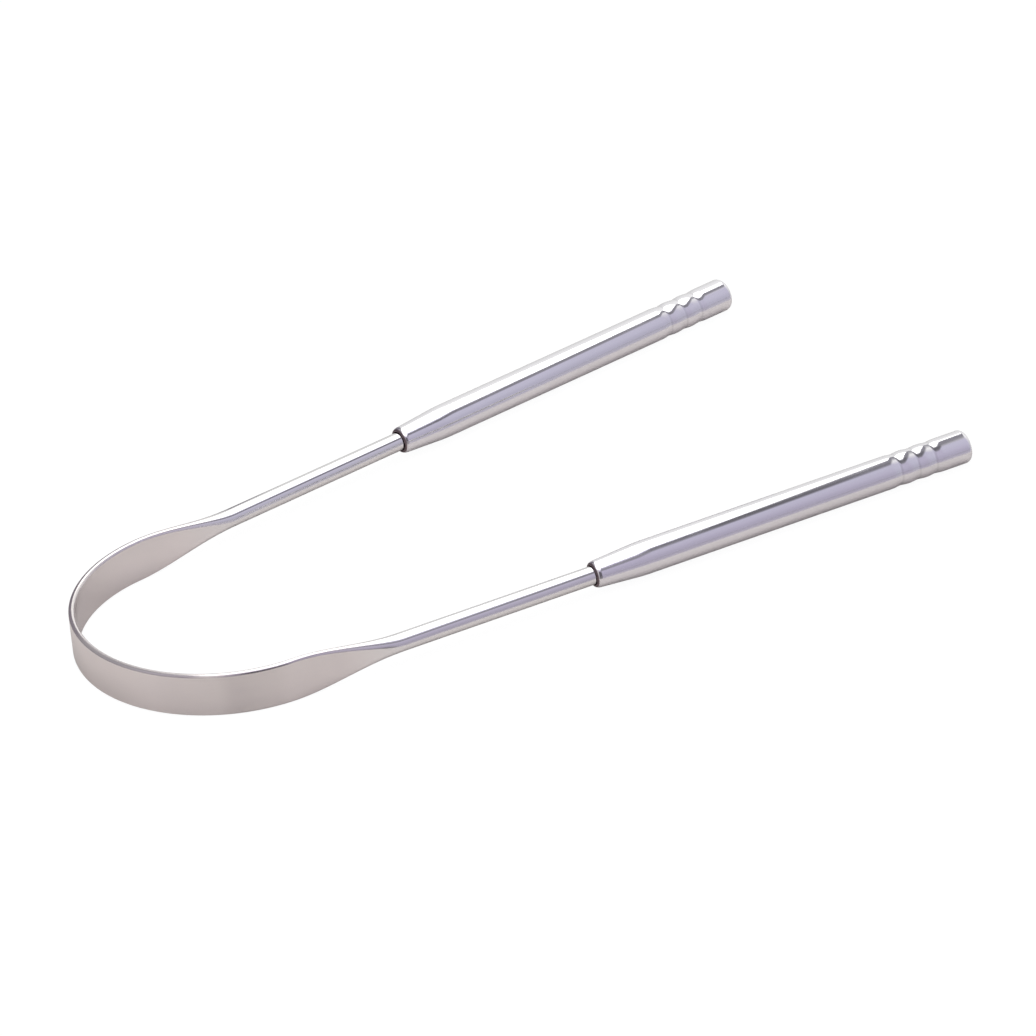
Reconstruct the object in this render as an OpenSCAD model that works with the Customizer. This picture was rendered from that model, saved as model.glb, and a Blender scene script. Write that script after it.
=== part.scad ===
// Tongue scraper: one round steel wire, rolled flat and bent into a bow, with a tubular handle on each end.
// It lies flat. +X runs from the bow to the handles, +Y to the right leg, +Z up.
// The origin is under the middle of the whole length, on the plane of the blade's lower edge.

/* [Scraper wire] */
// Diameter of the round wire
rod_d = 3.3; // [3.0:0.1:3.4]
// Width of the rolled blade, from edge to edge
blade_w = 8.0; // [6.5:0.5:11]
// Radius of the bow, from its centre to the middle of the blade's thickness
bend_r = 26.1; // [20:0.1:34]
// Angle by which each leg opens outwards, in degrees
splay = 4.85; // [1:0.05:9]
// Length of leg over which the flat blade becomes the round rod
taper_len = 20.5; // [12:0.5:32]
// Length of leg that shows between the bow and the mouth of the handle
bare_leg_len = 57.3; // [42:0.1:80]
// Length of rod that stands past the sleeve inside the handle
rod_past_sleeve = 1.2; // [0.6:0.1:3]
// Chamfer on the hidden end of the rod
rod_chamfer = 0.3; // [0.1:0.1:0.5]

/* [Handle tube] */
// Outside diameter of the handle
tube_d = 6.0; // [5.7:0.1:7]
// Thickness of the tube's wall
tube_wall = 0.5; // [0.35:0.05:0.65]
// Length of the handle, from its mouth to its end
handle_len = 74.8; // [60:0.1:95]
// Outside diameter of the drawn-in mouth
mouth_d = 4.85; // [4.7:0.05:5.2]
// Radial gap between the rod and the mouth
mouth_gap = 0.15; // [0.1:0.05:0.15]
// Radius of the mouth's rounded outer rim
rim_r = 0.55; // [0.4:0.05:0.55]
// Length of the drawn-in neck, from the mouth to the full diameter
neck_len = 10.7; // [8:0.1:14]
// Radius of the soft shoulder at the end of the neck
shoulder_r = 40; // [20:1:60]

/* [Grip grooves] */
// Number of grooves rolled into each handle
groove_count = 3; // [1:1:5]
// Distance from one groove to the next
groove_pitch = 3.5; // [3:0.1:5]
// Depth of a groove
groove_depth = 0.17; // [0.1:0.01:0.3]
// Radius of the rounded bottom of a groove
groove_r = 3.0; // [1:0.5:5]
// Distance from the end of the handle to the nearest groove
groove_end_gap = 7.4; // [6:0.1:9]

/* [Closed end] */
// Radius of the rounded corner at the end of the handle
end_corner_r = 1.0; // [0.6:0.05:1.05]
// Thickness of the lip that is turned in over the plug
lip_t = 0.7; // [0.6:0.05:0.9]
// Diameter of the hole that the lip leaves
lip_hole_d = 3.6; // [3:0.1:3.8]
// Length of free bore between the plug and the first rolled bead
plug_relief = 0.3; // [0.1:0.1:0.8]

/* [Rod sleeve] */
// Length of the sleeve that centres the rod in the tube
sleeve_len = 12; // [8:0.5:20]
// Chamfer on the sleeve's outer edges
sleeve_chamfer = 0.25; // [0.1:0.05:0.35]
// Radial gap left at a pressed surface
press_gap = 0.02; // [0.01:0.01:0.04]

/* [Hidden] */

// Steel as the photograph shows it: a satin, slightly warm blade and brighter handles
blade_colour = [0.74, 0.70, 0.69];
handle_colour = [0.82, 0.80, 0.84];
plug_colour = [0.70, 0.70, 0.72];
sleeve_colour = [0.60, 0.60, 0.62];

$fn = 96;
// Overrun by which a cut passes the surface that it opens
cut = 0.5;
// Points round a section of the lofted taper, and the steps along it
section_points = 32;
taper_steps = 20;
// Lap and step by which the loft enters its neighbours, so that the bow is one solid
seam_lap = 0.05;
seam_step = 0.005;
LEFT = -1;
RIGHT = 1;

// The rolled blade keeps the wire's section area, so its thickness follows from its width
wire_area = PI * pow(rod_d, 2) / 4;
corner_loss_share = 1 - PI / 4;
function rolled_t(w) = (w - sqrt(pow(w, 2) - 4 * corner_loss_share * wire_area)) / (2 * corner_loss_share);
blade_t = rolled_t(blade_w);

// Handle sizes
tube_r = tube_d / 2;
bore_r = tube_r - tube_wall;
mouth_r = mouth_d / 2;
mouth_bore_r = rod_d / 2 + mouth_gap;

// The shoulder's arc leaves the straight cone where their slopes agree
neck_rise = tube_r - mouth_r;
neck_run = neck_len - rim_r;
cone_chord = sqrt(pow(neck_run, 2) + pow(shoulder_r - neck_rise, 2));
cone_angle = asin(shoulder_r / cone_chord) - atan2(shoulder_r - neck_rise, neck_run);
shoulder_at = neck_len - shoulder_r * sin(cone_angle);
shoulder_start_r = tube_r - shoulder_r * (1 - cos(cone_angle));

// Each ridge between two grooves is a crown, an arc that runs smoothly into the rounded groove bottoms
crown_and_groove_r = (pow(groove_pitch / 2, 2) + pow(groove_depth, 2)) / (2 * groove_depth);
crown_r = crown_and_groove_r - groove_r;
flank_angle = asin(groove_pitch / 2 / crown_and_groove_r);
last_groove_at = handle_len - groove_end_gap;
first_groove_at = last_groove_at - (groove_count - 1) * groove_pitch;
grip_start = first_groove_at - groove_pitch / 2;
grip_end = last_groove_at + groove_pitch / 2;

// The plug fills the plain end of the bore, up to the turned-in lip
lip_at = handle_len - lip_t;
plug_start = grip_end + plug_relief;

// The sleeve starts where the bore reaches its full size
sleeve_start = neck_len;
rod_insert = sleeve_start + sleeve_len + rod_past_sleeve;

// Places in the part's frame
leg_len = bare_leg_len + handle_len;
reach = cos(splay) * (leg_len - end_corner_r) - sin(splay) * (bend_r - tube_r + end_corner_r) + end_corner_r;
overall_len = bend_r + blade_t / 2 + reach;
bend_x = bend_r + blade_t / 2 - overall_len / 2;
axis_z = max(blade_w, tube_d) / 2;

// Places what stands along +Z on a leg, with its foot where the bow ends
module on_leg(side) {
    mirror([0, side == LEFT ? 1 : 0, 0])
        translate([bend_x, 0, axis_z])
            rotate([0, 0, splay])
                translate([0, bend_r, 0])
                    rotate([0, 90, 0])
                        children();
}

// Places what stands along +Z on a leg, with its foot at the mouth of the handle
module on_handle(side) {
    on_leg(side)
        translate([0, 0, bare_leg_len])
            children();
}

// Section of the rolled wire: two flat faces joined by full-round edges
module strip_section(w, t) {
    square([t, w - t], center = true);
    for (end = [-1, 1])
        translate([0, end * (w - t) / 2])
            circle(d = t);
}

// The bow keeps the full blade width all the way round
module blade_bend() {
    translate([bend_x, 0, axis_z])
        rotate_extrude(angle = 180 - 2 * splay, start = 90 + splay)
            translate([bend_r, 0])
                strip_section(blade_w, blade_t);
}

// Soft S-shaped change from 0 to 1
function ease(u) = pow(u, 2) * (3 - 2 * u);
function width_at(z) = blade_w + (rod_d - blade_w) * ease(max(0, min(1, z / taper_len)));

// One ring of the loft: the strip section that the wire has at height z
function ring(z) =
    let (w = width_at(z), t = rolled_t(w), edge_r = t / 2 - seam_step)
    [for (k = [0 : section_points - 1])
        let (a = 360 * (k + 1 / 2) / section_points)
        [(w - t) / 2 * sign(cos(a)) + edge_r * cos(a), edge_r * sin(a), z]];

// Loft from the flat blade to the round rod, as it comes off the rolls
module blade_taper() {
    heights = concat(
        [-seam_lap],
        [for (i = [0 : taper_steps]) taper_len * i / taper_steps],
        [taper_len + seam_lap]
    );
    points = [for (z = heights) each ring(z)];
    last = len(points) - section_points;
    sides = [for (low = [0 : section_points : last - 1], k = [0 : section_points - 1])
        let (next = (k + 1) % section_points, high = low + section_points)
        each [[low + k, high + k, high + next], [low + k, high + next, low + next]]];
    foot = [for (k = [0 : section_points - 1]) k];
    top = [for (k = [section_points - 1 : -1 : 0]) last + k];
    polyhedron(points, concat([foot], sides, [top]));
}

// Round rod, from the taper to its end inside the handle
module leg_rod() {
    rod_len = bare_leg_len + rod_insert - taper_len;
    translate([0, 0, taper_len]) {
        cylinder(d = rod_d, h = rod_len - rod_chamfer);
        translate([0, 0, rod_len - rod_chamfer])
            cylinder(r1 = rod_d / 2, r2 = rod_d / 2 - rod_chamfer, h = rod_chamfer);
    }
}

module scraper_bow() {
    color(blade_colour) {
        blade_bend();
        for (side = [LEFT, RIGHT])
            on_leg(side) {
                blade_taper();
                leg_rod();
            }
    }
}

// Outlines of the handle are drawn with the radius along X and the distance from the mouth along Y
module slab(r, from, to) {
    translate([0, from])
        square([r, to - from]);
}

// One crown, or only its half behind or ahead of its middle, which runs on below the grooves beside it
module crown(middle, has_back, has_ahead, inset) {
    reach = groove_pitch / 2;
    intersection() {
        translate([tube_r - crown_r, middle])
            circle(r = crown_r - inset);
        slab(tube_r + cut, middle - (has_back ? reach : 0), middle + (has_ahead ? reach : 0));
    }
}

// The metal under the rounded bottom of one groove
module groove_bottom(middle, inset) {
    reach = (groove_r + inset) * sin(flank_angle);
    difference() {
        slab(tube_r, middle - reach, middle + reach);
        translate([tube_r - groove_depth + groove_r, middle])
            circle(r = groove_r + inset);
    }
}

// The grooved stretch, drawn at a depth below the tube's outer surface
module grip_outline(inset) {
    slab(bore_r - inset, grip_start, grip_end);
    for (i = [0 : groove_count])
        crown(grip_start + i * groove_pitch, i > 0, i < groove_count, inset);
    for (i = [0 : groove_count - 1])
        groove_bottom(first_groove_at + i * groove_pitch, inset);
}

// Rounded rim, cone and soft shoulder
module neck_outline() {
    slab(mouth_r - rim_r, 0, rim_r);
    translate([mouth_r - rim_r, rim_r])
        circle(r = rim_r);
    polygon([[0, rim_r], [mouth_r, rim_r], [shoulder_start_r, shoulder_at], [0, shoulder_at]]);
    intersection() {
        translate([tube_r - shoulder_r, neck_len])
            circle(r = shoulder_r);
        slab(tube_r + cut, shoulder_at, neck_len);
    }
}

// Plain end with its rounded corner
module end_outline() {
    slab(tube_r, grip_end, handle_len - end_corner_r);
    slab(tube_r - end_corner_r, handle_len - end_corner_r, handle_len);
    translate([tube_r - end_corner_r, handle_len - end_corner_r])
        circle(r = end_corner_r);
}

module tube_outline() {
    neck_outline();
    slab(tube_r, neck_len, grip_start);
    grip_outline(0);
    end_outline();
}

// The bore follows the neck and the rolled grooves, so the wall stays even
module bore_outline() {
    slab(mouth_bore_r, -cut, rim_r);
    polygon([[0, rim_r], [mouth_bore_r, rim_r], [bore_r, neck_len], [0, neck_len]]);
    slab(bore_r, neck_len, grip_start);
    grip_outline(tube_wall);
    slab(bore_r, grip_end, lip_at);
    slab(lip_hole_d / 2, lip_at, handle_len + cut);
}

module handle_tube(side) {
    color(handle_colour)
        on_handle(side)
            rotate_extrude()
                difference() {
                    tube_outline();
                    bore_outline();
                }
}

// The plug is set in before the lip is turned over it, and its nose lies flush in the lip's hole
module end_plug(side) {
    color(plug_colour)
        on_handle(side) {
            translate([0, 0, plug_start])
                cylinder(r = bore_r - press_gap, h = lip_at - press_gap - plug_start);
            translate([0, 0, lip_at - press_gap])
                cylinder(r = lip_hole_d / 2 - press_gap, h = lip_t + press_gap);
        }
}

// The sleeve carries the rod's end in the middle of the tube
module rod_sleeve(side) {
    outer_r = bore_r - press_gap;
    inner_r = rod_d / 2 + press_gap;
    color(sleeve_colour)
        on_handle(side)
            translate([0, 0, sleeve_start])
                rotate_extrude()
                    polygon([
                        [inner_r, 0],
                        [outer_r - sleeve_chamfer, 0],
                        [outer_r, sleeve_chamfer],
                        [outer_r, sleeve_len - sleeve_chamfer],
                        [outer_r - sleeve_chamfer, sleeve_len],
                        [inner_r, sleeve_len]
                    ]);
}

module left_handle_tube() { handle_tube(LEFT); }
module right_handle_tube() { handle_tube(RIGHT); }
module left_end_plug() { end_plug(LEFT); }
module right_end_plug() { end_plug(RIGHT); }
module left_rod_sleeve() { rod_sleeve(LEFT); }
module right_rod_sleeve() { rod_sleeve(RIGHT); }

scraper_bow();
left_handle_tube();
right_handle_tube();
left_end_plug();
right_end_plug();
left_rod_sleeve();
right_rod_sleeve();
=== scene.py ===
import math

import bmesh
import bpy
from mathutils import Matrix, Vector


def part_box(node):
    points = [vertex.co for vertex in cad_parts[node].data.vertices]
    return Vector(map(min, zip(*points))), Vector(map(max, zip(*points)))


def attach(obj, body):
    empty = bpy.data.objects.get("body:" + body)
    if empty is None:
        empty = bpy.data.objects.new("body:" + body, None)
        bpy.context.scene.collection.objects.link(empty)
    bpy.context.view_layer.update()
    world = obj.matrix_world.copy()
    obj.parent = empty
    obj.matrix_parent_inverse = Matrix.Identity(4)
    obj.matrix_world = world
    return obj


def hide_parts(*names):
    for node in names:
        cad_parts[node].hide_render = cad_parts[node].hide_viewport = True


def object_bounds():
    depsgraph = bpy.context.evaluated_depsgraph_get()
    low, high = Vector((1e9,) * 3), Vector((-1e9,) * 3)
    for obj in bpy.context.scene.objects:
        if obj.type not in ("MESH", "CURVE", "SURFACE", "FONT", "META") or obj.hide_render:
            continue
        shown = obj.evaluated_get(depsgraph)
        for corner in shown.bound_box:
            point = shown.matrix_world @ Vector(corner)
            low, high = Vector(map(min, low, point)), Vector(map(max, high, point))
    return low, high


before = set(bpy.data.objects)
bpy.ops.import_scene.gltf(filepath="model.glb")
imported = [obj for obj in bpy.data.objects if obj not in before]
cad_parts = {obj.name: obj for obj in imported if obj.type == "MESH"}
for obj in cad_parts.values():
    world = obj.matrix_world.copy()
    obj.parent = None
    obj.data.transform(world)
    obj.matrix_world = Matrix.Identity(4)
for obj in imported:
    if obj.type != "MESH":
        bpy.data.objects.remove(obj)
cad_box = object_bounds()

# Lengths are in metres. The left leg is at negative Y, nearer the camera
MM = 0.001
MICRON = 1e-6
LEFT, RIGHT = -1, 1
SIDE_NAMES = {LEFT: "left", RIGHT: "right"}

# Scraper wire: the first two sizes are measured on its solid
bow_low, bow_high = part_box("scraper_bow")
BLADE_W = bow_high.z - bow_low.z
AXIS_Z = (bow_high.z + bow_low.z) / 2
ROD_D = 3.3 * MM
BEND_R = 26.1 * MM
SPLAY = math.radians(4.85)
TAPER_LEN = 20.5 * MM
BARE_LEG_LEN = 57.3 * MM
ROD_INSERT = 23.9 * MM
ROD_CHAMFER = 0.3 * MM

# Handle tube
TUBE_R = 3.0 * MM
TUBE_WALL = 0.5 * MM
HANDLE_LEN = 74.8 * MM
MOUTH_R = 2.425 * MM
MOUTH_GAP = 0.15 * MM
RIM_R = 0.55 * MM
RIM_REACH = 1.1 * MM
NECK_LEN = 10.7 * MM
SHOULDER_R = 40 * MM
GROOVES = 3
GROOVE_PITCH = 3.5 * MM
GROOVE_DEPTH = 0.15 * MM
GROOVE_R = 2.3 * MM
GROOVE_FLANK = 0.6 * MM
GROOVE_END_GAP = 7.4 * MM
END_CORNER_R = 1.0 * MM
LIP_T = 0.7 * MM
LIP_HOLE_R = 1.8 * MM

# Fineness of the meshes
SECTION_POINTS = 72
BEND_STEPS = 180
TAPER_STEPS = 60
ROD_STEPS = 16
LATHE_STEPS = 112
RIM_STEPS = 24
CORNER_STEPS = 16
GROOVE_STEPS = 8
CROWN_STEPS = 6
SAME_POINT = 1e-7
SHARP_ANGLE = math.radians(38)
TURNED_SHARP_ANGLE = math.radians(8)


def rolled_thickness(width):
    """Thickness of the wire where it is rolled to this width, with its section area kept."""
    area = math.pi * ROD_D ** 2 / 4
    corner_loss = 1 - math.pi / 4
    return (width - math.sqrt(width ** 2 - 4 * corner_loss * area)) / (2 * corner_loss)


BLADE_T = rolled_thickness(BLADE_W)
BEND_X = bow_low.x + BEND_R + BLADE_T / 2
BEND_ANGLE = math.pi - 2 * SPLAY
HALF_BOW_LEN = BEND_R * BEND_ANGLE / 2


def leg_frame(side):
    """Local X runs out along the leg from the end of the bow, and local Z is up."""
    turned = Matrix.Rotation(side * SPLAY, 4, "Z")
    return Matrix.Translation((BEND_X, 0, AXIS_Z)) @ turned @ Matrix.Translation((0, side * BEND_R, 0))


def new_mesh(bm, name, material):
    """Turns the finished bmesh into a mesh with one material."""
    mesh = bpy.data.meshes.new(name)
    bm.to_mesh(mesh)
    bm.free()
    mesh.materials.append(material)
    return mesh


def new_object(name, data):
    """Puts an object with this mesh, light or camera in the scene."""
    made = bpy.data.objects.new(name, data)
    bpy.context.scene.collection.objects.link(made)
    return made


def put_in_order(items, rule):
    """Sorts points or faces by a rule about their place, so that each run gives the same mesh."""
    order = {item: rank for rank, item in enumerate(sorted(items, key=rule))}
    items.sort(key=order.get)


def piece_from(bm, name, material, node, sharp=SHARP_ANGLE):
    """Makes the finished bmesh a piece that rides on the part and stands for this node."""
    bmesh.ops.remove_doubles(bm, verts=bm.verts, dist=SAME_POINT)
    bmesh.ops.recalc_face_normals(bm, faces=bm.faces)
    put_in_order(bm.verts, lambda point: tuple(point.co))
    put_in_order(bm.faces, lambda face: tuple(face.calc_center_median()))
    for face in bm.faces:
        face.smooth = True
    for edge in bm.edges:
        edge.smooth = len(edge.link_faces) == 2 and edge.calc_face_angle() < sharp
    piece = new_object(name, new_mesh(bm, name, material))
    shading = piece.modifiers.new("flat_faces_stay_flat", "WEIGHTED_NORMAL")
    shading.keep_sharp = True
    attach(piece, "root")
    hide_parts(node)
    return piece


def points_of(items):
    """The points among these parts of a bmesh."""
    return [item for item in items if isinstance(item, bmesh.types.BMVert)]


def edges_between(points):
    """The edges that join these points to each other."""
    points = set(points)
    return list({edge for point in points for edge in point.link_edges if set(edge.verts) <= points})


def extruded(bm, ring):
    """The points of a new ring, joined to this one by faces and still in the same place."""
    return points_of(bmesh.ops.extrude_edge_only(bm, edges=edges_between(ring))["geom"])


def half_widths(along):
    """Half the distance between the centres of the rounded edges, and their radius, along the taper."""
    share = min(1, max(0, along / TAPER_LEN))
    width = BLADE_W + (ROD_D - BLADE_W) * share ** 2 * (3 - 2 * share)
    thickness = rolled_thickness(width)
    return (width - thickness) / 2, thickness / 2


def draw_out(bm, ring, leg, start, end):
    """Extrudes a ring along the leg and draws both its rounded edges to the section that it has there."""
    made = extruded(bm, ring)
    (gap, radius), (new_gap, new_radius) = half_widths(start), half_widths(end)
    shrink = Matrix.Diagonal((1, new_radius / radius, new_radius / radius, 1))
    inverse = leg.inverted()
    upper = [point for point in made if (inverse @ point.co).z > 0]
    lower = [point for point in made if (inverse @ point.co).z <= 0]
    for up, half in ((1, upper), (-1, lower)):
        move = (
            leg @ Matrix.Translation((end - start, 0, up * new_gap))
            @ shrink @ Matrix.Translation((0, 0, -up * gap)) @ inverse
        )
        bmesh.ops.transform(bm, matrix=move, verts=half)
    return made


def close_rod(bm, ring, leg):
    """Chamfers and caps the rod's end inside the handle."""
    made = extruded(bm, ring)
    centre = leg @ Matrix.Translation((BARE_LEG_LEN + ROD_INSERT - ROD_CHAMFER, 0, 0))
    share = 1 - 2 * ROD_CHAMFER / ROD_D
    move = Matrix.Translation((ROD_CHAMFER, 0, 0)) @ Matrix.Diagonal((1, share, share, 1))
    bmesh.ops.transform(bm, matrix=centre @ move @ centre.inverted(), verts=made)
    bmesh.ops.contextual_create(bm, geom=edges_between(made))


def scraper_wire(material):
    """One wire: its flat section is spun round the bow, then drawn along both legs to a round rod."""
    bm = bmesh.new()
    upright = Matrix.Rotation(math.pi / 2, 4, "Y") @ Matrix.Rotation(math.pi / SECTION_POINTS, 4, "Z")
    ring = bmesh.ops.create_circle(
        bm, segments=SECTION_POINTS, radius=BLADE_T / 2, matrix=leg_frame(RIGHT) @ upright
    )["verts"]
    spread = (BLADE_W - BLADE_T) / 2
    for point in ring:
        point.co.z += math.copysign(spread, point.co.z - AXIS_Z)
    spun = bmesh.ops.spin(
        bm, geom=ring + edges_between(ring), cent=(BEND_X, 0, AXIS_Z), axis=(0, 0, 1),
        angle=BEND_ANGLE, steps=BEND_STEPS,
    )
    rod_len = BARE_LEG_LEN + ROD_INSERT - ROD_CHAMFER - TAPER_LEN
    for side, points in ((RIGHT, ring), (LEFT, points_of(spun["geom_last"]))):
        leg = leg_frame(side)
        for start, length, steps in ((0, TAPER_LEN, TAPER_STEPS), (TAPER_LEN, rod_len, ROD_STEPS)):
            for step in range(steps):
                points = draw_out(
                    bm, points, leg, start + length * step / steps, start + length * (step + 1) / steps
                )
        close_rod(bm, points, leg)
    piece = piece_from(bm, "scraper_wire", material, "scraper_bow")
    store_straight(piece, along_wire)


def along_wire(place):
    """A place on the wire as it was before bending: distance along it, across it, and height."""
    side = RIGHT if place.y > 0 else LEFT
    on_leg = leg_frame(side).inverted() @ place
    if on_leg.x > 0:
        return side * (HALF_BOW_LEN + on_leg.x), side * on_leg.y, on_leg.z
    from_centre = Vector((place.x - BEND_X, place.y))
    turned = math.atan2(abs(from_centre.y), -from_centre.x)
    return side * BEND_R * turned, from_centre.length - BEND_R, place.z - AXIS_Z


def store_straight(piece, rule):
    """Stores the straightened place of each point, for the grain that follows the metal."""
    stored = piece.data.attributes.new("straight", "FLOAT_VECTOR", "POINT")
    for point, value in zip(piece.data.vertices, stored.data):
        value.vector = rule(point.co)


def arc(centre_at, centre_r, radius, start, end, steps):
    """Points (along, radius) on an arc. Angles run from the outward direction towards the handle's end."""
    angles = [start + (end - start) * step / steps for step in range(steps + 1)]
    return [(centre_at + radius * math.sin(a), centre_r + radius * math.cos(a)) for a in angles]


def grip(depth):
    """The rolled grooves with a crown between each two, at a depth below the tube's outer surface."""
    curved_len = GROOVE_PITCH / 2 - GROOVE_FLANK
    flank = math.atan(GROOVE_DEPTH / (GROOVE_FLANK + curved_len / 2))
    crown_r = curved_len / math.sin(flank) - GROOVE_R
    crown = TUBE_R - crown_r, crown_r - depth
    start = HANDLE_LEN - GROOVE_END_GAP - (GROOVES - 0.5) * GROOVE_PITCH
    outline = []
    for i in range(GROOVES + 1):
        middle = start + i * GROOVE_PITCH
        if i > 0:
            bottom = middle - GROOVE_PITCH / 2
            floor_r = TUBE_R - GROOVE_DEPTH + GROOVE_R
            outline += arc(bottom, floor_r, -GROOVE_R - depth, flank, -flank, GROOVE_STEPS)
            outline += arc(middle, *crown, -flank, 0, CROWN_STEPS)[:-1]
        outline.append((middle, TUBE_R - depth))
        if i < GROOVES:
            outline += arc(middle, *crown, 0, flank, CROWN_STEPS)[1:]
    return outline


def handle_outline():
    """Outline of the drawn tube as a closed loop of (along, radius), mouth first, out and back inside."""
    rise, run = TUBE_R - MOUTH_R, NECK_LEN - RIM_REACH
    chord = math.hypot(run, SHOULDER_R - rise)
    cone = math.asin(SHOULDER_R / chord) - math.atan2(SHOULDER_R - rise, run)
    quarter = math.pi / 2
    mouth_bore_r = ROD_D / 2 + MOUTH_GAP
    bore_r = TUBE_R - TUBE_WALL
    rim = arc(RIM_R, MOUTH_R - RIM_R, RIM_R, -quarter, 0, RIM_STEPS)
    outer = [(along * RIM_REACH / RIM_R, radius) for along, radius in rim]
    outer += arc(NECK_LEN, TUBE_R - SHOULDER_R, SHOULDER_R, -cone, 0, CORNER_STEPS)
    outer += grip(0)
    outer += arc(HANDLE_LEN - END_CORNER_R, TUBE_R - END_CORNER_R, END_CORNER_R, 0, quarter, CORNER_STEPS)
    inner = [(RIM_REACH, mouth_bore_r), (NECK_LEN, bore_r)]
    inner += grip(TUBE_WALL)
    inner += [(HANDLE_LEN - LIP_T, bore_r), (HANDLE_LEN - LIP_T, LIP_HOLE_R), (HANDLE_LEN, LIP_HOLE_R)]
    return [(0, mouth_bore_r)] + outer + inner[::-1]


def handle(side, material):
    """The tube is turned from its outline, one full spin about the leg's axis."""
    bm = bmesh.new()
    at_mouth = leg_frame(side) @ Matrix.Translation((BARE_LEG_LEN, 0, 0))
    points = [bm.verts.new(at_mouth @ Vector((along, 0, radius))) for along, radius in handle_outline()]
    edges = [bm.edges.new(pair) for pair in zip(points, points[1:] + points[:1])]
    bmesh.ops.spin(
        bm, geom=points + edges, cent=at_mouth.translation, axis=at_mouth.to_3x3() @ Vector((1, 0, 0)),
        angle=math.tau, steps=LATHE_STEPS, use_merge=True,
    )
    name = SIDE_NAMES[side] + "_handle"
    piece = piece_from(bm, name, material, name + "_tube", sharp=TURNED_SHARP_ANGLE)
    inverse = at_mouth.inverted()
    store_straight(piece, lambda place: inverse @ place)


def add(tree, kind, inputs=None, **settings):
    """Adds a node, with its settings, and fills its inputs with values or with other nodes' outputs."""
    made = tree.nodes.new(kind)
    for name, value in settings.items():
        setattr(made, name, value)
    for name, value in (inputs or {}).items():
        socket = made.inputs[name]
        if isinstance(value, bpy.types.NodeSocket):
            tree.links.new(value, socket)
        else:
            socket.default_value = value
    return made


def feeding(socket):
    """The output that is linked to this input."""
    return socket.links[0].from_socket


def maths(tree, operation, *values):
    """The result of this operation on numbers."""
    return add(tree, "ShaderNodeMath", dict(enumerate(values)), operation=operation).outputs[0]


def vector_maths(tree, operation, *values):
    """The outputs of this operation on vectors: the vector first, and the number by the name Value."""
    return add(tree, "ShaderNodeVectorMath", dict(enumerate(values)), operation=operation).outputs


def scaled(tree, vector, scale):
    """The vector or colour times one number."""
    return add(tree, "ShaderNodeVectorMath", {0: vector, "Scale": scale}, operation="SCALE").outputs[0]


def mix(tree, share, first, second, data_type="RGBA"):
    """The first colour or number where the share is 0, and the second where it is 1."""
    inputs = {"Factor": share, "A": first, "B": second}
    return add(tree, "ShaderNodeMix", inputs, data_type=data_type).outputs["Result"]


def remap(tree, value, low, high, to_low=0.0, to_high=1.0, smooth=True):
    """The value, brought from the range low to high into another range and kept inside it."""
    return add(
        tree, "ShaderNodeMapRange",
        {"Value": value, "From Min": low, "From Max": high, "To Min": to_low, "To Max": to_high},
        interpolation_type="SMOOTHSTEP" if smooth else "LINEAR",
    ).outputs["Result"]


def ramp(tree, share, stops):
    """Colour by share, from (position, colour) stops of which the first is at 0 and the last at 1."""
    made = add(tree, "ShaderNodeValToRGB", {"Fac": share})
    elements = made.color_ramp.elements
    for end in (0, -1):
        elements[end].color = (*stops[end][1], 1)
    for position, colour in stops[1:-1]:
        elements.new(position).color = (*colour, 1)
    return made.outputs["Color"]


def straight_place(tree):
    """The place on the straightened metal, and its distance along the metal."""
    place = add(tree, "ShaderNodeAttribute", attribute_name="straight").outputs["Vector"]
    return place, add(tree, "ShaderNodeSeparateXYZ", {"Vector": place}).outputs["X"]


def effect(name, inputs, outputs):
    """An empty shader node group with named inputs, which have defaults, and outputs."""
    group = bpy.data.node_groups.new(name, "ShaderNodeTree")
    for socket_name, default in inputs.items():
        kind = "NodeSocketVector" if isinstance(default, tuple) else "NodeSocketFloat"
        socket = group.interface.new_socket(socket_name, in_out="INPUT", socket_type=kind)
        socket.default_value = default
    for socket_name in outputs:
        group.interface.new_socket(socket_name, in_out="OUTPUT", socket_type="NodeSocketFloat")
    return group, group.nodes.new("NodeGroupInput").outputs, group.nodes.new("NodeGroupOutput").inputs


def stretched_noise(group, place, stretch, scale, detail=2.0, roughness=0.5):
    """Noise of this scale, drawn out along the metal by making the distance along it count for less."""
    drawn = vector_maths(group, "MULTIPLY", place, (stretch, 1.0, 1.0))[0]
    inputs = {"Vector": drawn, "Scale": scale, "Detail": detail, "Roughness": roughness}
    return add(group, "ShaderNodeTexNoise", inputs).outputs["Fac"]


# Ranges of the noise that each effect uses, and the tilts in radians of the three families of scratches
GRAIN_RANGE = (0.35, 0.65)
BAND_RANGE = (0.36, 0.64)
SCRATCH_RANGE = (0.68, 0.74)
HAZE_RANGE = (0.4, 0.68)
SCRATCH_TILTS = (0.5, -0.8, 1.3)


def grain_effect():
    """Fine lines that rolling or drawing leaves along the metal, and slow changes of tone along it."""
    group, given, out = effect(
        "drawn_grain", {"Place": (0, 0, 0), "Lines per metre": 6000.0}, ["Grain", "Bands"]
    )
    fine = stretched_noise(group, given["Place"], stretch=0.02, scale=given["Lines per metre"])
    group.links.new(remap(group, fine, *GRAIN_RANGE, smooth=False), out["Grain"])
    bands = stretched_noise(group, given["Place"], stretch=0.35, scale=90.0)
    group.links.new(remap(group, bands, *BAND_RANGE), out["Bands"])
    return group


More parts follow.
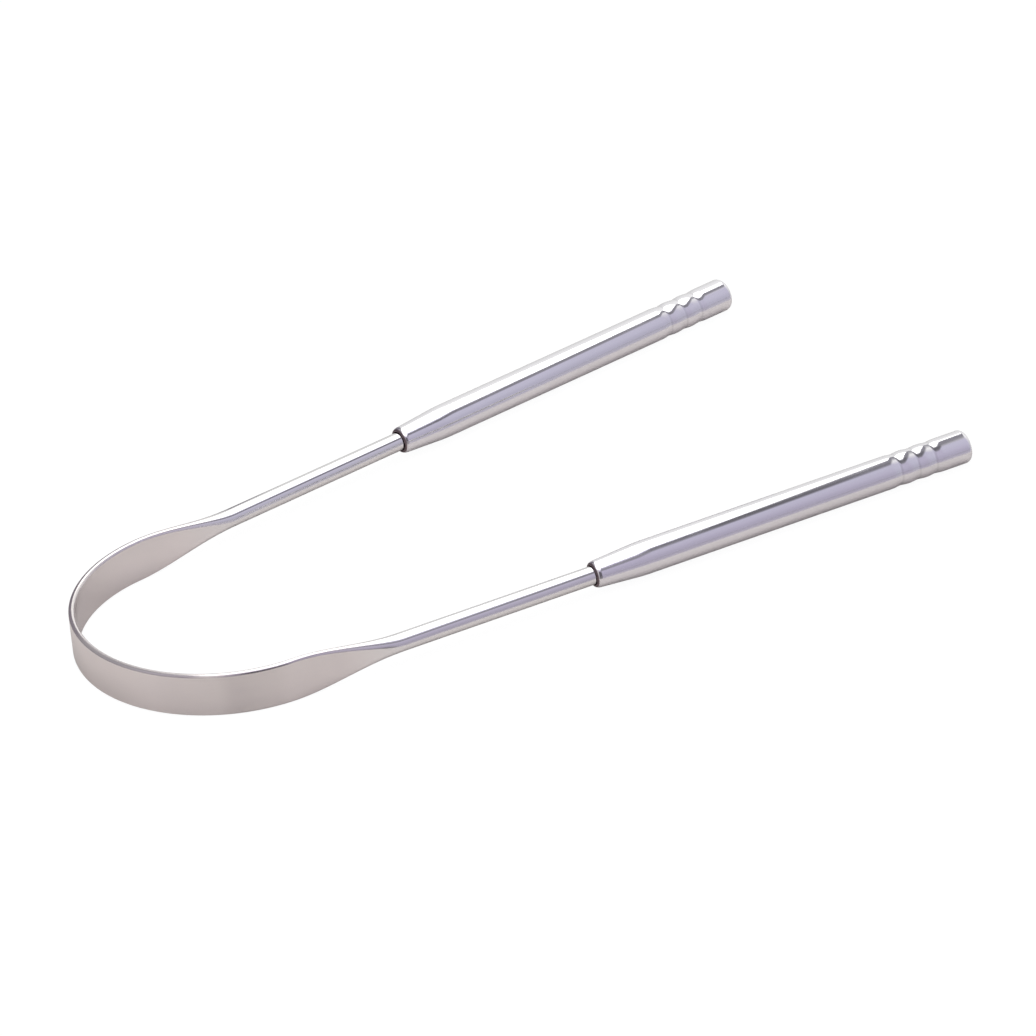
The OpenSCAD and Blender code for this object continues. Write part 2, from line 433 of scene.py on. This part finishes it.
def wear_effect():
    """Hairline scratches from use, and the haze that fingers and cleaning leave."""
    group, given, out = effect(
        "handling_wear", {"Place": (0, 0, 0), "Scratch share": 0.3}, ["Scratches", "Haze"]
    )
    lines = 0.0
    for tilt in SCRATCH_TILTS:
        turned = add(
            group, "ShaderNodeVectorRotate", {"Vector": given["Place"], "Angle": tilt}, rotation_type="Y_AXIS"
        ).outputs[0]
        noise = stretched_noise(group, turned, stretch=0.03, scale=2600.0, detail=1.0)
        lines = maths(group, "MAXIMUM", lines, remap(group, noise, *SCRATCH_RANGE))
    group.links.new(maths(group, "MULTIPLY", lines, given["Scratch share"]), out["Scratches"])
    cloud = stretched_noise(group, given["Place"], stretch=0.6, scale=260.0, detail=4.0, roughness=0.6)
    group.links.new(remap(group, cloud, *HAZE_RANGE), out["Haze"])
    return group


GRAIN = grain_effect()
WEAR = wear_effect()
SCRATCH_TONE = (0.9, 0.89, 0.89, 1)


def steel(
    name, tones, roughness, grain, straightened=True, lines_per_metre=6000.0, relief=MICRON, scratches=0.3
):
    """Steel whose colour lies between the two tones, and its roughness between the two values."""
    material = bpy.data.materials.new(name)
    material.use_nodes = True
    tree = material.node_tree
    shader = tree.nodes["Principled BSDF"]
    shader.inputs["Metallic"].default_value = 1.0
    if straightened:
        place = straight_place(tree)[0]
    else:
        place = add(tree, "ShaderNodeTexCoord").outputs["Object"]
    grains = add(
        tree, "ShaderNodeGroup", {"Place": place, "Lines per metre": lines_per_metre}, node_tree=GRAIN
    ).outputs
    wear = add(tree, "ShaderNodeGroup", {"Place": place, "Scratch share": scratches}, node_tree=WEAR).outputs
    tone = mix(tree, grains["Bands"], *tones)
    tree.links.new(mix(tree, wear["Scratches"], tone, SCRATCH_TONE), shader.inputs["Base Color"])
    grain_part = maths(tree, "MULTIPLY", grains["Grain"], grain)
    haze_part = remap(tree, wear["Haze"], 0.0, 1.0, *roughness)
    tree.links.new(maths(tree, "ADD", grain_part, haze_part), shader.inputs["Roughness"])
    bump = add(tree, "ShaderNodeBump", {"Height": grains["Grain"], "Strength": 1.0, "Distance": relief})
    tree.links.new(bump.outputs["Normal"], shader.inputs["Normal"])
    return material


# Painted reflections on the rolled blade: a lighter or darker tone that stands for the studio's reflections,
# by its distance in mm along the wire from the tip, towards the right leg
BLADE_PAINTED_REFLECTION_TONES = (
    (-51, 1.0), (-47, 0.97), (-42, 0.96), (-38, 0.97), (-35, 0.91), (-28, 0.83), (-25.5, 0.93), (-19, 0.97),
    (-14, 1.03), (-6, 1.02), (0, 1.06), (5, 1.13), (9, 1.2), (14, 1.05), (18, 0.99), (24, 0.97), (29, 0.94),
    (36, 0.98), (42, 1.0), (48, 1.05),
)

# Painted reflections in each groove, a light line then a dark line: tone by the distance in mm from its
# middle, towards the handle's end
GROOVE_PAINTED_REFLECTION_TONES = ((-0.5, 1.0), (-0.26, 1.04), (-0.1, 0.95), (0.04, 0.86), (0.2, 0.9), (0.4, 1.0))

# The brightest tone that a row of tones can hold, as a ramp's colours stop at 1
TONE_TOP = 1.25

# The polish of the round rods sets in at this share of the taper
POLISH_FROM = 0.35
ROD_TONE = (0.755, 0.745, 0.742, 1)
ROD_ROUGHNESS = 0.1

# What is left of the wire's light at grazing angles
GRAZING_TINT = (0.85, 0.85, 0.85, 1)

# Painted shade inside the mouth: how far within the mouth's radius the dark paint starts and is full, and
# where it ends
PAINTED_SHADE_DEPTHS = (0.16 * MM, 0.27 * MM)
PAINTED_SHADE_ENDS = (NECK_LEN, 0.7 * NECK_LEN)
PAINTED_MOUTH_SHADE = (0.20, 0.155, 0.165, 1)
MOUTH_INSIDE_ROUGHNESS = 0.45


def toned(tree, colour, along, low, high, tones):
    """The colour times a tone that changes along the metal, by (place, tone) pairs between low and high."""
    shares = [(0, 1.0)] + [((place - low) / (high - low), tone) for place, tone in tones] + [(1, 1.0)]
    stops = [(share, (tone / TONE_TOP,) * 3) for share, tone in shares]
    level = ramp(tree, remap(tree, along, low, high, smooth=False), stops)
    return scaled(tree, vector_maths(tree, "MULTIPLY", colour, level)[0], TONE_TOP)


def wire_finish_and_painted_reflection(material):
    """Paints soft steps of lighter and darker tone along the blade as reflections of the studio, and the
    round rods stay as polished as drawn.
    """
    tree = material.node_tree
    shader = tree.nodes["Principled BSDF"]
    along = straight_place(tree)[1]
    reach = HALF_BOW_LEN + TAPER_LEN
    scratched = feeding(shader.inputs["Base Color"]).node
    tones = [(place * MM, tone) for place, tone in BLADE_PAINTED_REFLECTION_TONES]
    # Painted reflections: the blade's colour is made lighter and darker along it by the tone table
    blade_painted_reflection = toned(tree, feeding(scratched.inputs["A"]), along, -reach, reach, tones)
    away = maths(tree, "ABSOLUTE", along)
    round_share = remap(tree, away, HALF_BOW_LEN + POLISH_FROM * TAPER_LEN, reach)
    tree.links.new(mix(tree, round_share, blade_painted_reflection, ROD_TONE), scratched.inputs["A"])
    rough = mix(tree, round_share, feeding(shader.inputs["Roughness"]), ROD_ROUGHNESS, "FLOAT")
    tree.links.new(rough, shader.inputs["Roughness"])
    height = feeding(shader.inputs["Normal"]).node.inputs["Height"]
    flat_share = maths(tree, "SUBTRACT", 1.0, round_share)
    tree.links.new(maths(tree, "MULTIPLY", feeding(height), flat_share), height)
    shader.inputs["Specular Tint"].default_value = GRAZING_TINT


def mouth_roughness_and_painted_shade(material):
    """The tube is rough inside, and shade is painted dark on the inner side of its mouth and in the bore."""
    tree = material.node_tree
    shader = tree.nodes["Principled BSDF"]
    place, along = straight_place(tree)
    across = vector_maths(tree, "MULTIPLY", place, (0, 1, 1))[0]
    radius = vector_maths(tree, "LENGTH", across)["Value"]
    # Painted shade: the dark colour is full on the mouth's inner slope and in the bore, up to the neck
    within = remap(tree, radius, *(MOUTH_R - depth for depth in PAINTED_SHADE_DEPTHS))
    share = maths(tree, "MULTIPLY", within, remap(tree, along, *PAINTED_SHADE_ENDS))
    for name, value, data_type in (("Base Color", PAINTED_MOUTH_SHADE, "RGBA"), ("Roughness", MOUTH_INSIDE_ROUGHNESS, "FLOAT")):
        socket = shader.inputs[name]
        tree.links.new(mix(tree, share, feeding(socket), value, data_type), socket)


def groove_painted_reflections(material):
    """Each groove is painted with a thin dark line and a thin light line before it, which stand for the
    groove's reflections.
    """
    tree = material.node_tree
    colour = tree.nodes["Principled BSDF"].inputs["Base Color"]
    last = HANDLE_LEN - GROOVE_END_GAP
    first = last - (GROOVES - 1) * GROOVE_PITCH
    middles = [first + i * GROOVE_PITCH for i in range(GROOVES)]
    # Painted reflections: a light and a dark line across each groove
    tones = [(middle + offset * MM, tone) for middle in middles for offset, tone in GROOVE_PAINTED_REFLECTION_TONES]
    low, high = first - GROOVE_PITCH, last + GROOVE_PITCH
    tree.links.new(toned(tree, feeding(colour), straight_place(tree)[1], low, high, tones), colour)


blade_steel = steel(
    "satin_blade_steel", tones=((0.742, 0.700, 0.686, 1), (0.715, 0.674, 0.662, 1)), roughness=(0.17, 0.22),
    grain=0.05, relief=0.4 * MICRON, scratches=0.06,
)
wire_finish_and_painted_reflection(blade_steel)
handle_steel = steel(
    "polished_handle_steel", tones=((0.79, 0.78, 0.795, 1), (0.765, 0.755, 0.77, 1)), roughness=(0.07, 0.12),
    grain=0.03, lines_per_metre=9000.0, relief=0.2 * MICRON, scratches=0.12,
)
mouth_roughness_and_painted_shade(handle_steel)
groove_painted_reflections(handle_steel)
plug_steel = steel(
    "turned_plug_steel", tones=((0.72, 0.71, 0.73, 1), (0.64, 0.63, 0.65, 1)), roughness=(0.25, 0.36),
    grain=0.1, straightened=False,
)
sleeve_steel = steel(
    "drawn_sleeve_steel", tones=((0.58, 0.58, 0.60, 1), (0.46, 0.46, 0.48, 1)), roughness=(0.3, 0.45),
    grain=0.1, straightened=False,
)

scraper_wire(blade_steel)
for side in SIDE_NAMES:
    handle(side, handle_steel)
for side_name in SIDE_NAMES.values():
    for part, slot_name, material in (
        ("end_plug", "plug_steel", plug_steel), ("rod_sleeve", "sleeve_steel", sleeve_steel)
    ):
        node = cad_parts[f"{side_name}_{part}"]
        node.data.materials.clear()
        node.data.materials.append(material)

# Camera, fitted to the outline of both legs in the photograph
PHOTO_SIDE_PX = 1036
FOCAL_LENGTH_PX = 7545.75
SENSOR_WIDTH = 36.0
CLIP_RANGE = (0.01, 20.0)
CAMERA_AZIMUTH = math.radians(-30.6378)
CAMERA_ELEVATION = math.radians(29.9243)
CAMERA_ROLL = math.radians(-5.4252)
CAMERA_DISTANCE = 1309.55 * MM
CAMERA_TARGET = Vector((BEND_X + 56.037 * MM, -5.980 * MM, AXIS_Z))


def add_camera():
    """Turned in compass direction, height and roll, then moved back from the point that it looks at."""
    data = bpy.data.cameras.new("camera")
    data.sensor_width = SENSOR_WIDTH
    data.lens = FOCAL_LENGTH_PX / PHOTO_SIDE_PX * SENSOR_WIDTH
    data.clip_start, data.clip_end = CLIP_RANGE
    camera = new_object("camera", data)
    aim = (
        Matrix.Rotation(CAMERA_AZIMUTH, 4, "Z")
        @ Matrix.Rotation(math.pi / 2 - CAMERA_ELEVATION, 4, "X")
        @ Matrix.Rotation(CAMERA_ROLL, 4, "Z")
    )
    back = Matrix.Translation((0, 0, CAMERA_DISTANCE))
    camera.matrix_world = Matrix.Translation(CAMERA_TARGET) @ aim @ back
    bpy.context.scene.camera = camera


# Soft box above the bow and the handles, turned so that its long side runs away from the camera
BOX_HEIGHT = 270 * MM
BOX_TURN = math.radians(52)
BOX_ACROSS = (-99 * MM, 157 * MM)
BOX_ALONG = (-200 * MM, 325 * MM)
BOX_RADIANCE = 1.4

# Lights that only matt surfaces pick up: name, compass direction and height in degrees, and the share
# of full light that each gives the board
KEYS = (("key_at_tip", 172, 42, 0.24), ("key_beside", -128, 43, 0.22))
KEY_DISTANCE = 0.9
KEY_SIDE = 0.45


def in_box_frame(across, along, height):
    """A place by its distance to the right, its distance away from the camera and its height."""
    return Matrix.Rotation(BOX_TURN, 4, "Z") @ Vector((along, -across, height))


def add_lamp(name, radiance, size, place, turn):
    """A rectangular lamp of this radiance that faces down its own axis and that the camera doesn't see."""
    data = bpy.data.lights.new(name, "AREA")
    data.shape = "RECTANGLE"
    data.size, data.size_y = size
    data.energy = radiance * math.pi * data.size * data.size_y
    lamp = new_object(name, data)
    lamp.matrix_world = Matrix.Translation(place) @ turn
    lamp.visible_camera = False
    return lamp


def add_lamps():
    """The soft box, which the steel mirrors, and the key lights, which give the faint shadow."""
    middle = in_box_frame(sum(BOX_ACROSS) / 2, sum(BOX_ALONG) / 2, BOX_HEIGHT)
    size = (BOX_ALONG[1] - BOX_ALONG[0], BOX_ACROSS[1] - BOX_ACROSS[0])
    add_lamp("soft_box", BOX_RADIANCE, size, middle, Matrix.Rotation(BOX_TURN, 4, "Z"))
    for name, azimuth, elevation, share in KEYS:
        azimuth, elevation = math.radians(azimuth), math.radians(elevation)
        level = Vector((math.cos(azimuth), math.sin(azimuth), 0)) * math.cos(elevation)
        towards = level + Vector((0, 0, math.sin(elevation)))
        radiance = share * math.pi * KEY_DISTANCE ** 2 / (KEY_SIDE ** 2 * math.sin(elevation))
        turn = towards.to_track_quat("Z", "Y").to_matrix().to_4x4()
        key = add_lamp(name, radiance, (KEY_SIDE, KEY_SIDE), towards * KEY_DISTANCE, turn)
        key.visible_glossy = False


def bare_material(name):
    """A new material with no nodes yet, and its node tree."""
    material = bpy.data.materials.new(name)
    material.use_nodes = True
    material.node_tree.nodes.clear()
    return material, material.node_tree


def glow(tree, colour, strength=1.0):
    """A shader that gives off light of this colour."""
    return add(tree, "ShaderNodeEmission", {"Color": colour, "Strength": strength}).outputs[0]


def mix_shaders(tree, share, first, second):
    """The first shader where the share is 0, and the second where it is 1."""
    return add(tree, "ShaderNodeMixShader", {"Fac": share, 1: first, 2: second}).outputs[0]


def add_square(name, side, place, material):
    """A flat square, made round the origin and then put in its place by this matrix."""
    bm = bmesh.new()
    bmesh.ops.create_grid(bm, x_segments=1, y_segments=1, size=side / 2)
    bmesh.ops.transform(bm, matrix=place, verts=bm.verts)
    return new_object(name, new_mesh(bm, name, material))


def add_card(name, place, material):
    """A card that only shows in the steel: a square of 1 m, brought to its size and place by this matrix."""
    card = add_square(name, 1.0, place, material)
    for ray in ("camera", "diffuse", "transmission", "shadow", "volume_scatter"):
        setattr(card, f"visible_{ray}", False)


# Dark gap beside the soft box and below it: it shows as the thin dark line between the steel's white and
# lavender. Its edges are soft, and slant inward by a share of the distance away from the camera
GAP_HEIGHT = 164 * MM
GAP_ACROSS = (98 * MM, 215 * MM)
GAP_SLANT = 0.155
GAP_INNER_EDGE = (104 * MM, 120 * MM)
GAP_OUTER_EDGE = (176 * MM, 144 * MM)
GAP_TINT = (1.0, 0.97, 1.1, 1)
GAP_RADIANCES = (0.17, 0.30)
GAP_DARK_LEN = 80 * MM


def gap_material():
    """Darkest beside the scraper's middle, and clear outside both edges."""
    material, tree = bare_material("gap_beside_soft_box")
    place = add(tree, "ShaderNodeTexCoord").outputs["Object"]
    turned = add(
        tree, "ShaderNodeVectorRotate", {"Vector": place, "Angle": -BOX_TURN}, rotation_type="Z_AXIS"
    ).outputs[0]
    along = add(tree, "ShaderNodeSeparateXYZ", {"Vector": turned}).outputs["X"]
    across = vector_maths(tree, "DOT_PRODUCT", turned, (GAP_SLANT, -1, 0))["Value"]
    radiance = remap(tree, maths(tree, "ABSOLUTE", along), 0, GAP_DARK_LEN, *GAP_RADIANCES)
    inner, outer = (remap(tree, across, *edge) for edge in (GAP_INNER_EDGE, GAP_OUTER_EDGE))
    clear = add(tree, "ShaderNodeBsdfTransparent").outputs[0]
    mixed = mix_shaders(tree, maths(tree, "MULTIPLY", inner, outer), clear, glow(tree, GAP_TINT, radiance))
    add(tree, "ShaderNodeOutputMaterial", {"Surface": mixed})
    return material


def add_gap():
    """Lays the gap's card flat, in line with the soft box."""
    size = Matrix.Diagonal((BOX_ALONG[1] - BOX_ALONG[0], GAP_ACROSS[1] - GAP_ACROSS[0], 1, 1))
    centre = in_box_frame(sum(GAP_ACROSS) / 2, sum(BOX_ALONG) / 2, GAP_HEIGHT)
    add_card("gap", Matrix.Translation(centre) @ Matrix.Rotation(BOX_TURN, 4, "Z") @ size, gap_material())


# Upright dark cards, in mm and degrees: name, the place that each stands round, its compass direction and
# distance from there, how far it reaches to the left and to the right, its height and its grey. They give
# the thin dark lines on the bow's edge and round the mouths
DARK_CARDS = (
    ("behind_the_tip", (-71, 17), 59.4, 300, (-400, 2), 250, 0.24),
    ("at_the_camera", (4, -31), -110.0, 400, (-180, 88), 330, 0.15),
)
CARD_TINT = (1.0, 0.92, 1.08)


def add_dark_cards():
    """Stands each card on the floor, facing the place that it stands round."""
    for name, (x, y), direction, distance, (left, right), height, grey in DARK_CARDS:
        material, tree = bare_material(name)
        colour = (*(grey * share for share in CARD_TINT), 1)
        add(tree, "ShaderNodeOutputMaterial", {"Surface": glow(tree, colour)})
        turn = Matrix.Rotation(math.radians(direction), 4, "Z")
        middle = Matrix.Translation((distance * MM, -(left + right) / 2 * MM, height / 2 * MM))
        upright = Matrix.Rotation(math.pi / 2, 4, "Y")
        size = Matrix.Diagonal((height * MM, (right - left) * MM, 1, 1))
        add_card(name, Matrix.Translation((x * MM, y * MM, 0)) @ turn @ middle @ upright @ size, material)


# Walls of the room by compass direction, in degrees from +X towards +Y, as reflections see them
WALLS = (
    (-180, (0.52, 0.50, 0.56)),
    (-150, (0.46, 0.43, 0.50)),
    (-141, (0.85, 0.82, 0.82)),
    (-131, (0.85, 0.82, 0.82)),
    (-124, (0.60, 0.56, 0.66)),
    (-98, (0.60, 0.56, 0.72)),
    (-72, (0.59, 0.55, 0.70)),
    (-55, (0.65, 0.63, 0.775)),
    (-30, (0.67, 0.65, 0.79)),
    (-12, (0.85, 0.83, 0.90)),
    (15, (1.15, 1.15, 1.15)),
    (45, (1.08, 1.08, 1.08)),
    (66, (1.0, 1.0, 1.0)),
    (84, (0.5, 0.49, 0.51)),
    (105, (0.40, 0.39, 0.41)),
    (150, (0.42, 0.41, 0.45)),
    (180, (0.52, 0.50, 0.56)),
)

# The walls are dimmer at the floor and full from this height on, as the sine of the angle above the floor.
# Matt surfaces get a share of their light, and the camera sees white
WALL_DIM = 0.84
WALL_FULL_FROM = 0.6
ROOM_SHARE = 0.38
WHITE = (1, 1, 1, 1)


def add_world():
    """The room round the scraper, which the steel mirrors and the camera doesn't see."""
    world = bpy.data.worlds.new("studio")
    bpy.context.scene.world = world
    world.use_nodes = True
    tree = world.node_tree
    tree.nodes.clear()
    towards = add(tree, "ShaderNodeTexCoord").outputs["Generated"]
    direction = add(tree, "ShaderNodeSeparateXYZ", {"Vector": towards}).outputs
    turn = maths(tree, "ARCTAN2", direction["Y"], direction["X"])
    stops = [((degrees + 180) / 360, colour) for degrees, colour in WALLS]
    colour = ramp(tree, remap(tree, turn, -math.pi, math.pi, smooth=False), stops)
    walls = scaled(tree, colour, remap(tree, direction["Z"], 0.0, WALL_FULL_FROM, WALL_DIM, 1.0))
    rays = add(tree, "ShaderNodeLightPath").outputs
    share = remap(tree, rays["Is Diffuse Ray"], 0.0, 1.0, 1.0, ROOM_SHARE, smooth=False)
    seen = mix(tree, rays["Is Camera Ray"], scaled(tree, walls, share), WHITE)
    sky = add(tree, "ShaderNodeBackground", {"Color": seen, "Strength": 1.0}).outputs[0]
    add(tree, "ShaderNodeOutputWorld", {"Surface": sky})


# Pale semi-gloss board on which the scraper lies: it touches the end of the bow and the ends of the handles
BOARD_SIDE = 3.0
BOARD_TOUCH_X = -49 * MM
BOARD_TILT = -math.atan2(AXIS_Z - TUBE_R, cad_box[1].x - BOARD_TOUCH_X)
BOARD_COLOUR = (0.652, 0.618, 0.60, 1)
BOARD_GLOSS = (0.85, 0.85, 0.85, 1)
BOARD_ROUGHNESS = 0.12

# The board's gloss grows with its slant to the eye, over this range of slants and up to this share
GLOSS_SLANTS = (0.52, 0.78)
GLOSS_SHARE = 0.9

# The camera sees almost white, and a little of the light that falls on the board, which keeps a faint shadow
SEEN_WHITE = (0.955, 0.955, 0.955, 1)
SHADOW_PART = (0.07, 0.07, 0.07, 1)


def board_material():
    """A beige board to the steel, a white ground with a faint shadow to the camera, and clear from below."""
    material, tree = bare_material("pale_board")
    board = add(tree, "ShaderNodeBsdfDiffuse", {"Color": BOARD_COLOUR}).outputs[0]
    gloss = add(tree, "ShaderNodeBsdfGlossy", {"Color": BOARD_GLOSS, "Roughness": BOARD_ROUGHNESS}).outputs[0]
    slant = add(tree, "ShaderNodeLayerWeight", {"Blend": 0.5}).outputs["Facing"]
    in_steel = mix_shaders(tree, remap(tree, slant, *GLOSS_SLANTS, 0, GLOSS_SHARE), board, gloss)
    shaded = add(tree, "ShaderNodeBsdfDiffuse", {"Color": SHADOW_PART}).outputs[0]
    ground = add(tree, "ShaderNodeAddShader", {0: glow(tree, SEEN_WHITE), 1: shaded}).outputs[0]
    clear = add(tree, "ShaderNodeBsdfTransparent").outputs[0]
    below = add(tree, "ShaderNodeNewGeometry").outputs["Backfacing"]
    to_camera = mix_shaders(tree, below, ground, clear)
    is_camera = add(tree, "ShaderNodeLightPath").outputs["Is Camera Ray"]
    whole = mix_shaders(tree, is_camera, in_steel, to_camera)
    add(tree, "ShaderNodeOutputMaterial", {"Surface": whole})
    return material


def add_board():
    """Tilts the board to the line on which the scraper rests."""
    place = Matrix.Translation((BOARD_TOUCH_X, 0, 0)) @ Matrix.Rotation(BOARD_TILT, 4, "Y")
    add_square("board", BOARD_SIDE, place, board_material())


add_camera()
add_lamps()
add_gap()
add_dark_cards()
add_world()
add_board()
bpy.context.scene.view_settings.view_transform = "Standard"
